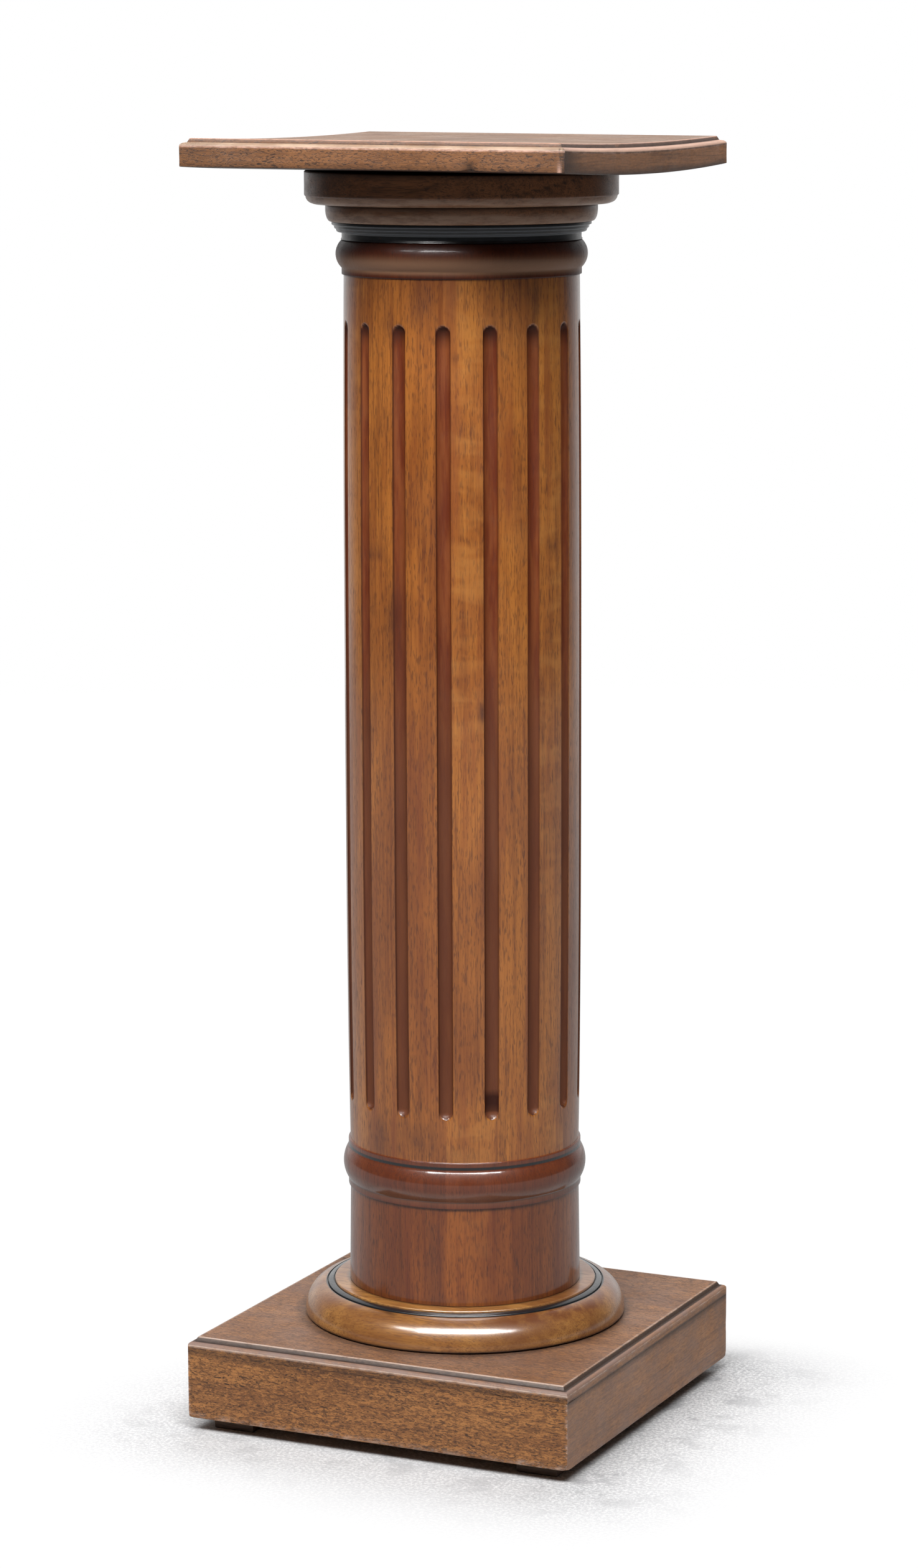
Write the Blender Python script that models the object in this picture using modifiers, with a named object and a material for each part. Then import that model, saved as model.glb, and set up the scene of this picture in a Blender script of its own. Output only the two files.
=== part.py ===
# Fluted wooden column pedestal: a turned, staved shaft on a square plinth, under a cupped square top.
# Metres, +Z up. The origin is on the floor under the middle of the plinth, and the front faces -Y.
import math

import bmesh
import bpy
import numpy as np
from mathutils import Matrix

# Feet and plinth
PLINTH_SIDE = 0.325
FOOT_SIDE = 0.034
FOOT_HEIGHT = 0.011
FOOT_INSET = 0.015
PLINTH_BLOCK_HEIGHT = 0.0529
PLINTH_BOARD_EDGE = 0.0062

# Edge moulding that the plinth board and the top board share
MOULDING_FILLET_DROP = 0.0032
MOULDING_FILLET_WIDTH = 0.0017
MOULDING_SHOULDER_DROP = 0.0029
MOULDING_SHOULDER_WIDTH = 0.0042
MOULDING_ARC_STEPS = 3

# Base ring
BASE_RING_HEIGHT = 0.0281
BASE_RING_RADIUS = 0.1277
BASE_RING_BELLY_HEIGHT = 0.0019
BASE_RING_BULGE = 0.0190
BASE_RING_UNDERCUT = 0.0035
BASE_SEAT_RADIUS = 0.1040
BASE_STEP_DROP = 0.0018
BASE_BAND_DROP = 0.0012
BASE_BAND_LEAN = 0.0005

# Shaft, from its drum to the torus at its neck
DRUM_HEIGHT = 0.0778
DRUM_FOOT_RADIUS = 0.0919
DRUM_TOP_RADIUS = 0.0909
SHAFT_HEIGHT = 0.6828
SHAFT_FOOT_RADIUS = 0.0908
SHAFT_BELLY_RADIUS = 0.0926
SHAFT_TOP_RADIUS = 0.0911
ENTASIS_POWER = 3
FILLET_PROUD = 0.0015
ASTRAGAL_LOWER_FILLET = 0.0052
ASTRAGAL_HEIGHT = 0.0256
ASTRAGAL_PROUD = 0.0040
ASTRAGAL_UPPER_FILLET = 0.0060
NECK_FILLET = 0.0050
NECK_TORUS_HEIGHT = 0.0216
NECK_TORUS_PROUD = 0.0046

# Flutes
FLUTE_COUNT = 16
FLUTE_CUT_RADIUS = 0.0066
FLUTE_DEPTH = 0.0036
FLUTE_FOOT_MARGIN = 0.0335
FLUTE_TOP_MARGIN = 0.0345
FLUTE_PHASE = math.radians(16)

# Discs over the neck
NECK_RING_HEIGHT = 0.0138
NECK_RING_RADIUS = 0.0924
NECK_RING_WAIST = 0.0058
NECK_RING_STEP = 0.0031
NECK_RING_SLOPE = 0.0014
NECK_RING_LIP = 0.0032
NECK_RING_LIP_HEIGHT = 0.0028
ECHINUS_HEIGHT = 0.0135
ECHINUS_RADIUS = 0.1049
ECHINUS_ROUND = 0.0038
ECHINUS_ROUND_HEIGHT = 0.0095
ABACUS_HEIGHT = 0.0248
ABACUS_RADIUS = 0.1210
ABACUS_CHAMFER = 0.0062

# Top board, cupped across Y
TOP_SIDE = 0.316
TOP_EDGE = 0.0154
TOP_SAG_UNDER = 0.0043
TOP_SAG_OVER = 0.0026
TOP_STRIPS = 9

# Fineness and the hairline gap between pieces that touch
TURNING_STEPS = 64
GAP = 0.0003
ARC_STEPS = 5
RING_ARC_STEPS = 8
SHAFT_STEPS = 8
FLUTE_SIDES = 12
FLUTE_END_STEPS = 3
FLUTE_RUN_STEPS = 5
MERGE = 0.00001

# Heights of the seats, worked up from the floor
BLOCK_BOTTOM = FOOT_HEIGHT
BLOCK_TOP = BLOCK_BOTTOM + PLINTH_BLOCK_HEIGHT
MOULDING_DROP = MOULDING_FILLET_DROP + MOULDING_SHOULDER_DROP
PLINTH_TOP = BLOCK_TOP + PLINTH_BOARD_EDGE + MOULDING_DROP
DRUM_BOTTOM = PLINTH_TOP + BASE_RING_HEIGHT
ASTRAGAL_BOTTOM = DRUM_BOTTOM + DRUM_HEIGHT
ASTRAGAL_GROUP = ASTRAGAL_LOWER_FILLET + ASTRAGAL_HEIGHT + ASTRAGAL_UPPER_FILLET
SHAFT_BOTTOM = ASTRAGAL_BOTTOM + ASTRAGAL_GROUP
SHAFT_TOP = SHAFT_BOTTOM + SHAFT_HEIGHT
NECK_TOP = SHAFT_TOP + NECK_FILLET + NECK_TORUS_HEIGHT
RING_TOP = NECK_TOP + NECK_RING_HEIGHT
ECHINUS_TOP = RING_TOP + ECHINUS_HEIGHT
ABACUS_TOP = ECHINUS_TOP + ABACUS_HEIGHT


def clear_scene():
    for item in list(bpy.data.objects):
        bpy.data.objects.remove(item, do_unlink=True)


def make_collection(name):
    group = bpy.data.collections.new(name)
    bpy.context.scene.collection.children.link(group)
    return group


def wood(name, colour, roughness):
    material = bpy.data.materials.new(name)
    material.use_nodes = True
    shader = material.node_tree.nodes["Principled BSDF"]
    shader.inputs["Base Color"].default_value = (*colour, 1.0)
    shader.inputs["Roughness"].default_value = roughness
    shader.inputs["Metallic"].default_value = 0.0
    return material


def add_object(name, mesh, group):
    thing = bpy.data.objects.new(name, mesh)
    group.objects.link(thing)
    return thing


def finish_piece(thing, material, smooth=True):
    thing.data.materials.append(material)
    if smooth:
        thing.data.shade_smooth()
        thing.data.set_sharp_from_angle(angle=math.radians(35))


def evaluated_mesh(thing):
    scene = bpy.context.evaluated_depsgraph_get()
    return bpy.data.meshes.new_from_object(thing.evaluated_get(scene))


def turn(outline, steps, name):
    """Turn an outline of (radius, height) points, given from top to bottom, about the Z axis."""
    mesh = bpy.data.meshes.new(name)
    edges = [(i, i + 1) for i in range(len(outline) - 1)]
    mesh.from_pydata([(radius, 0.0, height) for radius, height in outline], edges, [])
    profile = add_object(name + "_profile", mesh, bpy.context.scene.collection)
    screw = profile.modifiers.new("turning", "SCREW")
    screw.axis = "Z"
    screw.angle = 2 * math.pi
    screw.steps = steps
    screw.render_steps = steps
    screw.use_merge_vertices = True
    screw.merge_threshold = MERGE
    bpy.context.view_layer.update()
    turned = evaluated_mesh(profile)
    turned.name = name
    bpy.data.objects.remove(profile, do_unlink=True)
    return turned


def arc(start, end, bulge, steps):
    """Points from start to end along a circular arc that stands proud of the straight line by bulge."""
    (r0, z0), (r1, z1) = start, end
    chord = math.hypot(r1 - r0, z1 - z0)
    radius = chord * chord / (8 * bulge) + bulge / 2
    half_angle = math.asin(min(1.0, chord / (2 * radius)))
    out_r, out_z = (z0 - z1) / chord, (r1 - r0) / chord
    points = []
    for step in range(steps + 1):
        angle = half_angle * (2 * step / steps - 1)
        along = 0.5 + radius * math.sin(angle) / chord
        proud = bulge - radius * (1 - math.cos(angle))
        points.append((r0 + (r1 - r0) * along + out_r * proud, z0 + (z1 - z0) * along + out_z * proud))
    return points


def quarter(centre, wide, tall, start, end, steps):
    """Points along an ellipse about centre, from the start angle to the end angle in degrees."""
    angles = [math.radians(start + (end - start) * step / steps) for step in range(steps + 1)]
    return [(centre[0] + wide * math.cos(a), centre[1] + tall * math.sin(a)) for a in angles]


def make_feet(group, material):
    half = PLINTH_SIDE / 2 - FOOT_INSET - FOOT_SIDE / 2
    height = FOOT_HEIGHT - GAP
    for depth_name, depth in (("front", -1), ("back", 1)):
        for side_name, side in (("left", -1), ("right", 1)):
            name = f"foot_{depth_name}_{side_name}"
            shape = bmesh.new()
            bmesh.ops.create_cube(shape, size=1.0, matrix=Matrix.Diagonal((FOOT_SIDE, FOOT_SIDE, height, 1)))
            mesh = bpy.data.meshes.new(name)
            shape.to_mesh(mesh)
            shape.free()
            foot = add_object(name, mesh, group)
            foot.location = (side * half, depth * half, height / 2)
            finish_piece(foot, material, smooth=False)


def make_plinth_block(group, material):
    shape = bmesh.new()
    height = PLINTH_BLOCK_HEIGHT - GAP
    bmesh.ops.create_cube(shape, size=1.0, matrix=Matrix.Diagonal((PLINTH_SIDE, PLINTH_SIDE, height, 1)))
    mesh = bpy.data.meshes.new("plinth_block")
    shape.to_mesh(mesh)
    shape.free()
    block = add_object("plinth_block", mesh, group)
    block.location = (0, 0, BLOCK_BOTTOM + height / 2)
    finish_piece(block, material, smooth=False)


def square_board(name, side, bottom, edge):
    """A square board with the shared moulding round its upper edge, mitred at the corners."""
    half = side / 2
    edge_top = bottom + edge
    top = edge_top + MOULDING_DROP
    shoulder = (half - MOULDING_SHOULDER_WIDTH, edge_top)
    outline = [(0, top), (half - MOULDING_SHOULDER_WIDTH - MOULDING_FILLET_WIDTH, top)]
    outline += quarter(shoulder, MOULDING_SHOULDER_WIDTH, MOULDING_SHOULDER_DROP, 90, 0, MOULDING_ARC_STEPS)
    outline += [(half, bottom), (0, bottom)]
    corner = math.sqrt(2)
    mesh = turn([(radius * corner, height) for radius, height in outline], 4, name)
    mesh.transform(Matrix.Rotation(math.radians(45), 4, "Z"))
    return mesh


def make_plinth_board(group, material):
    mesh = square_board("plinth_board", PLINTH_SIDE, BLOCK_TOP, PLINTH_BOARD_EDGE - GAP)
    finish_piece(add_object("plinth_board", mesh, group), material, smooth=False)


def make_base_ring(group, material):
    bottom = PLINTH_TOP
    top = DRUM_BOTTOM - GAP
    belly = bottom + BASE_RING_BELLY_HEIGHT
    band_top = top - BASE_STEP_DROP
    band_bottom = band_top - BASE_BAND_DROP
    rounding = (BASE_RING_RADIUS - BASE_RING_BULGE, belly)
    outline = [(0, top), (BASE_SEAT_RADIUS, top), (BASE_SEAT_RADIUS + BASE_BAND_LEAN, band_top)]
    outline += quarter(rounding, BASE_RING_BULGE, band_bottom - belly, 90, 0, RING_ARC_STEPS)
    outline += [(BASE_RING_RADIUS - BASE_RING_UNDERCUT, bottom), (0, bottom)]
    mesh = turn(outline, TURNING_STEPS, "base_ring")
    finish_piece(add_object("base_ring", mesh, group), material)


def shaft_radius(height):
    """Radius of the shaft with its slight swelling, which falls off towards both ends."""
    middle = (SHAFT_BOTTOM + SHAFT_TOP) / 2
    away = (height - middle) / (SHAFT_HEIGHT / 2)
    end = SHAFT_TOP_RADIUS if away > 0 else SHAFT_FOOT_RADIUS
    return SHAFT_BELLY_RADIUS - (SHAFT_BELLY_RADIUS - end) * min(1.0, abs(away)) ** ENTASIS_POWER


def shaft_outline():
    neck_edge = SHAFT_TOP + NECK_FILLET
    neck_radius = SHAFT_TOP_RADIUS + FILLET_PROUD
    upper_edge = SHAFT_BOTTOM - ASTRAGAL_UPPER_FILLET
    upper_radius = SHAFT_FOOT_RADIUS + FILLET_PROUD
    lower_edge = upper_edge - ASTRAGAL_HEIGHT
    lower_radius = DRUM_TOP_RADIUS + FILLET_PROUD
    top = NECK_TOP - GAP
    outline = [(0, top)]
    outline += arc((neck_radius, top), (neck_radius, neck_edge), NECK_TORUS_PROUD, ARC_STEPS)
    outline += [(neck_radius, SHAFT_TOP)]
    for height in np.linspace(SHAFT_TOP, SHAFT_BOTTOM, SHAFT_STEPS + 1):
        outline.append((shaft_radius(height), float(height)))
    outline += [(upper_radius, SHAFT_BOTTOM)]
    outline += arc((upper_radius, upper_edge), (lower_radius, lower_edge), ASTRAGAL_PROUD, ARC_STEPS)
    outline += [(lower_radius, ASTRAGAL_BOTTOM), (DRUM_TOP_RADIUS, ASTRAGAL_BOTTOM)]
    outline += [(DRUM_FOOT_RADIUS, DRUM_BOTTOM), (0, DRUM_BOTTOM)]
    return outline


def make_flute_cutters(group):
    """Round-ended cutters that follow the swelling of the shaft, one for each flute."""
    low = SHAFT_BOTTOM + FLUTE_FOOT_MARGIN
    high = SHAFT_TOP - FLUTE_TOP_MARGIN
    reach = FLUTE_CUT_RADIUS
    outline = quarter((0, high - reach), reach, reach, 90, 0, FLUTE_END_STEPS)
    run = np.linspace(high - reach, low + reach, FLUTE_RUN_STEPS + 1)
    outline += [(reach, float(height)) for height in run[1:-1]]
    outline += quarter((0, low + reach), reach, reach, 0, -90, FLUTE_END_STEPS)
    rod = turn(outline, FLUTE_SIDES, "flute_rod")
    for vertex in rod.vertices:
        vertex.co.x += shaft_radius(vertex.co.z) + reach - FLUTE_DEPTH
    shape = bmesh.new()
    for number in range(FLUTE_COUNT):
        angle = FLUTE_PHASE - math.pi / 2 + 2 * math.pi * number / FLUTE_COUNT
        flute = rod.copy()
        flute.transform(Matrix.Rotation(angle, 4, "Z"))
        shape.from_mesh(flute)
        bpy.data.meshes.remove(flute)
    mesh = bpy.data.meshes.new("flute_cutters")
    shape.to_mesh(mesh)
    shape.free()
    bpy.data.meshes.remove(rod)
    cutters = add_object("flute_cutters", mesh, group)
    cutters.hide_render = True
    cutters.display_type = "WIRE"
    return cutters


def make_shaft(group, cutter_group, material):
    shaft = add_object("column_shaft", turn(shaft_outline(), TURNING_STEPS, "column_shaft"), group)
    flutes = shaft.modifiers.new("flutes", "BOOLEAN")
    flutes.operation = "DIFFERENCE"
    flutes.solver = "EXACT"
    flutes.object = make_flute_cutters(cutter_group)
    finish_piece(shaft, material)


def make_neck_ring(group, material):
    top = RING_TOP - GAP
    step = NECK_TOP + NECK_RING_WAIST
    lip = RING_TOP - NECK_RING_LIP_HEIGHT
    shoulder = NECK_RING_RADIUS + NECK_RING_STEP
    outline = [(0, top), (shoulder + NECK_RING_SLOPE + NECK_RING_LIP, top)]
    outline += [(shoulder + NECK_RING_SLOPE + NECK_RING_LIP, lip), (shoulder + NECK_RING_SLOPE, lip - GAP)]
    outline += [(shoulder, step), (NECK_RING_RADIUS, step), (NECK_RING_RADIUS, NECK_TOP), (0, NECK_TOP)]
    mesh = turn(outline, TURNING_STEPS, "neck_ring")
    finish_piece(add_object("neck_ring", mesh, group), material)


def make_echinus(group, material):
    top = ECHINUS_TOP - GAP
    rounding = (ECHINUS_RADIUS - ECHINUS_ROUND, RING_TOP + ECHINUS_ROUND_HEIGHT)
    outline = [(0, top), (ECHINUS_RADIUS, top)]
    outline += quarter(rounding, ECHINUS_ROUND, ECHINUS_ROUND_HEIGHT, 0, -90, ARC_STEPS)
    outline += [(0, RING_TOP)]
    mesh = turn(outline, TURNING_STEPS, "echinus_disc")
    finish_piece(add_object("echinus_disc", mesh, group), material)


def make_abacus(group, material):
    top = ABACUS_TOP - GAP
    outline = [(0, top), (ABACUS_RADIUS, top), (ABACUS_RADIUS, ECHINUS_TOP + ABACUS_CHAMFER)]
    outline += [(ABACUS_RADIUS - ABACUS_CHAMFER, ECHINUS_TOP), (0, ECHINUS_TOP)]
    mesh = turn(outline, TURNING_STEPS, "abacus_disc")
    finish_piece(add_object("abacus_disc", mesh, group), material)


def make_top_board(group, material):
    """The top board has cupped: its front and back edges stand higher than its middle."""
    bottom = ABACUS_TOP + TOP_SAG_UNDER
    mesh = square_board("top_board", TOP_SIDE, bottom, TOP_EDGE)
    half = TOP_SIDE / 2
    lines = [half * (2 * k / TOP_STRIPS - 1) for k in range(TOP_STRIPS + 1)]
    flat = half / TOP_STRIPS
    hollow = [(half * half - y * y) / (half * half - flat * flat) for y in lines]
    shape = bmesh.new()
    shape.from_mesh(mesh)
    for y in lines[1:-1]:
        everything = shape.verts[:] + shape.edges[:] + shape.faces[:]
        bmesh.ops.bisect_plane(shape, geom=everything, dist=MERGE, plane_co=(0, y, 0), plane_no=(0, 1, 0))
    for vertex in shape.verts:
        rise = (vertex.co.z - bottom) / (TOP_EDGE + MOULDING_DROP)
        sag = TOP_SAG_UNDER + (TOP_SAG_OVER - TOP_SAG_UNDER) * rise
        vertex.co.z -= sag * float(np.interp(vertex.co.y, lines, hollow))
    shape.to_mesh(mesh)
    shape.free()
    finish_piece(add_object("top_board", mesh, group), material, smooth=False)


def main():
    clear_scene()
    group = make_collection("fluted_pedestal")
    cutters = make_collection("cutters")
    plinth_wood = wood("plinth_mahogany", (0.19, 0.10, 0.052), 0.5)
    ring_wood = wood("ring_mahogany", (0.33, 0.17, 0.06), 0.3)
    shaft_wood = wood("shaft_mahogany", (0.30, 0.125, 0.038), 0.28)
    dark_wood = wood("dark_mahogany", (0.075, 0.038, 0.024), 0.35)
    ebonised = wood("ebonised_wood", (0.012, 0.012, 0.014), 0.25)
    top_wood = wood("top_mahogany", (0.27, 0.15, 0.09), 0.42)
    foot_wood = wood("foot_pine", (0.16, 0.10, 0.06), 0.7)
    make_feet(group, foot_wood)
    make_plinth_block(group, plinth_wood)
    make_plinth_board(group, plinth_wood)
    make_base_ring(group, ring_wood)
    make_shaft(group, cutters, shaft_wood)
    make_neck_ring(group, ebonised)
    make_echinus(group, dark_wood)
    make_abacus(group, dark_wood)
    make_top_board(group, top_wood)


main()
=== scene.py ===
import math

import bpy
import numpy as np
from mathutils import Matrix, Vector, noise


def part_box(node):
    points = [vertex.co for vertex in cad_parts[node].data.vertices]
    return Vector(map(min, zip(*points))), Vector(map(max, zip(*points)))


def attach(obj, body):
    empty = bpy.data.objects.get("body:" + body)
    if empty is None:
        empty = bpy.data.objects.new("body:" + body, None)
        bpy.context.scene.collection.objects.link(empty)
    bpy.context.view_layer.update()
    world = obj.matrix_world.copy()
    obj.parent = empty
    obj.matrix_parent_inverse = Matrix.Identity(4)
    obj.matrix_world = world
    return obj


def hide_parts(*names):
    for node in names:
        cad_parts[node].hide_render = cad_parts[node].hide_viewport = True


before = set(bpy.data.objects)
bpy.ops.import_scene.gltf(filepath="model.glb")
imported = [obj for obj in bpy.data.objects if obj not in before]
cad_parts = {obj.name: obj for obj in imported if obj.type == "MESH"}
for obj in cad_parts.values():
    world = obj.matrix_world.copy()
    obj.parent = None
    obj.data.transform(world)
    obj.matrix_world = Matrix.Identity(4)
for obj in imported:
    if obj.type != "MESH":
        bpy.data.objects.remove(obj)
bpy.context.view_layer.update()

# Camera, as the photograph was taken
CAMERA_DISTANCE = 3.361
CAMERA_HEIGHT = 1.0652
CAMERA_AZIMUTH = math.radians(25.07)
CAMERA_YAW = math.radians(0.03)
CAMERA_PITCH = math.radians(9.505)
CAMERA_ROLL = math.radians(-0.20)
CAMERA_LENS = 99.5

# Shaft, with the same sizes as its solid
DRUM_HEIGHT = 0.0778
DRUM_FOOT_RADIUS = 0.0919
DRUM_TOP_RADIUS = 0.0909
SHAFT_HEIGHT = 0.6828
SHAFT_FOOT_RADIUS = 0.0908
SHAFT_BELLY_RADIUS = 0.0926
SHAFT_TOP_RADIUS = 0.0911
ENTASIS_POWER = 3
FILLET_PROUD = 0.0015
ASTRAGAL_LOWER_FILLET = 0.0052
ASTRAGAL_HEIGHT = 0.0256
ASTRAGAL_PROUD = 0.0040
ASTRAGAL_UPPER_FILLET = 0.0060
NECK_FILLET = 0.0050
NECK_TORUS_PROUD = 0.0046
FLUTE_COUNT = 16
FLUTE_CUT_RADIUS = 0.0066
FLUTE_DEPTH = 0.0036
FLUTE_FOOT_MARGIN = 0.0335
FLUTE_TOP_MARGIN = 0.0345
FLUTE_PHASE = math.radians(16)
FLUTE_PITCH = 2 * math.pi / FLUTE_COUNT
FLUTE_ARRIS = math.radians(3.42)

# Mouldings
MOULDING_FILLET_DROP = 0.0032
MOULDING_FILLET_WIDTH = 0.0017
MOULDING_SHOULDER_DROP = 0.0029
MOULDING_SHOULDER_WIDTH = 0.0042
MOULDING_DROP = MOULDING_FILLET_DROP + MOULDING_SHOULDER_DROP
MOULDING_TOP_RIM = 0.0075
TOP_EDGE_HEIGHT = 0.0154
TOP_DENT_AT = 0.082
TOP_SAG_UNDER = 0.0043
TOP_SAG_OVER = 0.0026
BASE_SEAT_RADIUS = 0.1040
BASE_RING_BULGE = 0.0190
BASE_RING_BELLY_HEIGHT = 0.0019
NECK_RING_RADIUS = 0.1001
NECK_RING_WAIST = 0.0924
PLANK_JOINT = 0.0925
PLANK_JOINT_END = 0.02

# How far the turned pieces stand off the middle of the plinth, and how the top board tips up to its left
TURNED_SHIFT = (0.0016, 0.0007, 0.0)
TOP_TILT = 0.0076

RING_SIDES = 256


# Mesh tools

def new_piece(name, places, faces, material, replaced):
    mesh = bpy.data.meshes.new(name)
    mesh.from_pydata(places, [], faces)
    mesh.update()
    piece = bpy.data.objects.new(name, mesh)
    bpy.context.scene.collection.objects.link(piece)
    mesh.materials.append(material)
    mesh.shade_smooth()
    mesh.set_sharp_from_angle(angle=math.radians(50))
    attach(piece, "root")
    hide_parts(replaced)
    return piece


def paint(piece, name, values):
    """Give each point a value that the materials read by its name."""
    layer = piece.data.attributes.new(name, "FLOAT", "POINT")
    layer.data.foreach_set("value", np.asarray(values, dtype=np.float32))


def smoothstep(low, high, x):
    t = np.clip((np.asarray(x, dtype=float) - low) / (high - low), 0.0, 1.0)
    return t * t * (3 - 2 * t)


def hump(x, middle, width):
    return np.exp(-((x - middle) / width) ** 2)


def arc(start, end, bulge, steps):
    """Points along a circular arc that stands proud of the straight line from start to end by bulge."""
    (r0, z0), (r1, z1) = start, end
    chord = math.hypot(r1 - r0, z1 - z0)
    radius = chord * chord / (8 * bulge) + bulge / 2
    half_angle = math.asin(min(1.0, chord / (2 * radius)))
    out_r, out_z = (z0 - z1) / chord, (r1 - r0) / chord
    points = []
    for step in range(steps + 1):
        angle = half_angle * (2 * step / steps - 1)
        along = 0.5 + radius * math.sin(angle) / chord
        proud = bulge - radius * (1 - math.cos(angle))
        points.append((r0 + (r1 - r0) * along + out_r * proud, z0 + (z1 - z0) * along + out_z * proud))
    return points


def quarter(centre, wide, tall, start, end, steps):
    """Points on an ellipse round centre, from the angle start to the angle end in degrees."""
    angles = [math.radians(start + (end - start) * step / steps) for step in range(steps + 1)]
    return [(centre[0] + wide * math.cos(a), centre[1] + tall * math.sin(a)) for a in angles]


def soften(outline, size, steps=3):
    """Round each corner of an outline by cutting back at most size along both of its edges."""
    softened = [outline[0]]
    for before, corner, after in zip(outline, outline[1:], outline[2:]):
        a, b, c = Vector(before), Vector(corner), Vector(after)
        back, on = (a - b).length, (c - b).length
        if min(back, on) < 1e-7 or (a - b).angle(c - b) > math.radians(150):
            softened.append(corner)
            continue
        start = b + (a - b) * (min(size, back * 0.4) / back)
        end = b + (c - b) * (min(size, on * 0.4) / on)
        for step in range(steps + 1):
            t = step / steps
            softened.append(tuple((1 - t) ** 2 * start + 2 * t * (1 - t) * b + t * t * end))
    return softened + [outline[-1]]


def refine(outline, spacing):
    """Add points so that no two neighbours lie further apart than spacing."""
    fine = [outline[0]]
    for (r0, z0), (r1, z1) in zip(outline, outline[1:]):
        parts = max(1, math.ceil(math.hypot(r1 - r0, z1 - z0) / spacing))
        fine += [(r0 + (r1 - r0) * k / parts, z0 + (z1 - z0) * k / parts) for k in range(1, parts + 1)]
    return fine


def ledge(outline):
    """A small step with softened corners and enough points for narrow painted lines."""
    return refine(soften(outline, 0.0005), 0.0008)


def lathe(name, outline, material, replaced, angles=None, shape=None):
    """Turn an outline, given from the top of the axis down to its foot; shape may change each radius."""
    if angles is None:
        angles = np.linspace(0, 2 * math.pi, RING_SIDES, endpoint=False)
    count = len(angles)
    radii = np.array([r for r, z in outline[1:-1]])[:, None] * np.ones(count)[None, :]
    heights = np.array([z for r, z in outline[1:-1]])[:, None] * np.ones(count)[None, :]
    turns = np.ones(len(outline) - 2)[:, None] * np.asarray(angles)[None, :]
    if shape:
        radii, heights = shape(radii, heights, turns)
    xs, ys = radii * np.sin(turns), -radii * np.cos(turns)
    ring = np.stack([xs.ravel(), ys.ravel(), heights.ravel()], axis=1)
    places = np.concatenate([[(0, 0, outline[0][1])], ring, [(0, 0, outline[-1][1])]])
    faces = []
    for k in range(count):
        n = (k + 1) % count
        faces.append((0, 1 + k, 1 + n))
        for row in range(len(outline) - 3):
            top, low = 1 + row * count, 1 + (row + 1) * count
            faces.append((top + k, low + k, low + n, top + n))
        low = 1 + (len(outline) - 3) * count
        faces.append((low + k, len(places) - 1, low + n))
    piece = new_piece(name, (places + TURNED_SHIFT).tolist(), faces, material, replaced)
    return piece, places


def wobble(places, size, scale, seed):
    shift = Vector((seed * 13.7, seed * 5.1, seed * 9.3))
    return np.array([noise.noise(Vector(p) * scale + shift) for p in places]) * size


# Node tools

POLISH_IOR = 1.7


class Nodes:
    """Shader nodes, written from left to right."""

    def __init__(self, tree):
        self.tree = tree

    def node(self, kind, **settings):
        made = self.tree.nodes.new(kind)
        for key, value in settings.items():
            setattr(made, key, value)
        return made

    def feed(self, socket, value):
        if isinstance(value, bpy.types.NodeSocket):
            self.tree.links.new(value, socket)
        else:
            socket.default_value = value

    def span(self, value, low, high, to_low=0.0, to_high=1.0):
        made = self.node("ShaderNodeMapRange", interpolation_type="SMOOTHSTEP", clamp=True)
        self.feed(made.inputs["Value"], value)
        made.inputs["From Min"].default_value = low
        made.inputs["From Max"].default_value = high
        made.inputs["To Min"].default_value = to_low
        made.inputs["To Max"].default_value = to_high
        return made.outputs["Result"]

    def math(self, operation, a, b=0.0):
        made = self.node("ShaderNodeMath", operation=operation)
        self.feed(made.inputs[0], a)
        self.feed(made.inputs[1], b)
        return made.outputs[0]

    def mix(self, factor, a, b, blend="MIX"):
        made = self.node("ShaderNodeMix", data_type="RGBA", blend_type=blend, clamp_factor=True)
        self.feed(made.inputs["Factor"], factor)
        self.feed(made.inputs["A"], a if isinstance(a, bpy.types.NodeSocket) else (*a, 1.0))
        self.feed(made.inputs["B"], b if isinstance(b, bpy.types.NodeSocket) else (*b, 1.0))
        return made.outputs["Result"]


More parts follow.
